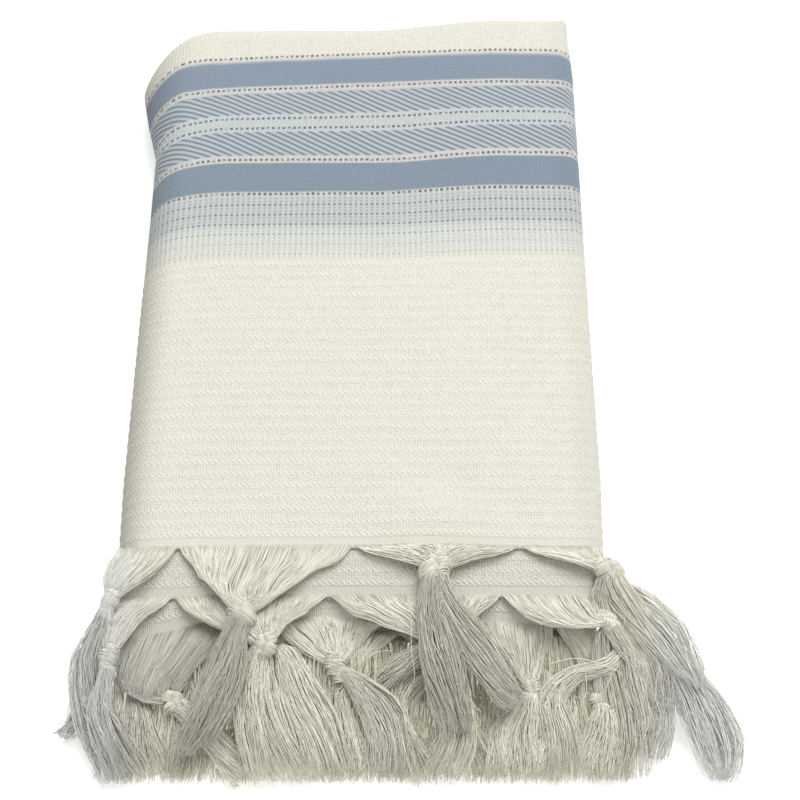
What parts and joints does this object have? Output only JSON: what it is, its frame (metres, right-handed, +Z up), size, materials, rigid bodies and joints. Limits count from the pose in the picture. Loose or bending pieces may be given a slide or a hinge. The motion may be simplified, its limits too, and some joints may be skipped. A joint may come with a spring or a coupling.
{
  "type": "folded tallit prayer shawl",
  "caption": "White ribbed shawl with pale blue stripes across its end, folded flat to a rectangular stack with its knotted fringe laid out at the front.",
  "frame": {"origin": "middle of the folded stack's flat underside, on the surface that it lies on", "axes": "+Z up, +Y from the fringed front to the back fold, +X across the stack"},
  "size_m": [0.4465, 0.6469, 0.0595],
  "materials": {
    "cloth": "ribbed off-white cotton, with pale blue woven stripes on the top sheet",
    "inner_cloth": "plain off-white cotton",
    "fringe": "loose warm-white cotton threads"
  },
  "bodies": {
    "root": {"top_sheet": "cloth", "second_sheet": "cloth", "third_sheet": "cloth", "folded_layers": "inner_cloth", "tassel_a1": "fringe", "tassel_a2": "fringe", "tassel_a3": "fringe", "tassel_a4": "fringe", "tassel_b1": "fringe", "tassel_b2": "fringe", "tassel_b3": "fringe", "tassel_b4": "fringe", "tassel_c1": "fringe", "tassel_c2": "fringe", "tassel_c3": "fringe", "tassel_c4": "fringe", "tassel_d1": "fringe", "tassel_d2": "fringe", "tassel_d3": "fringe", "tassel_d4": "fringe", "tassel_d5": "fringe", "tassel_d6": "fringe"}
  },
  "joints": []
}
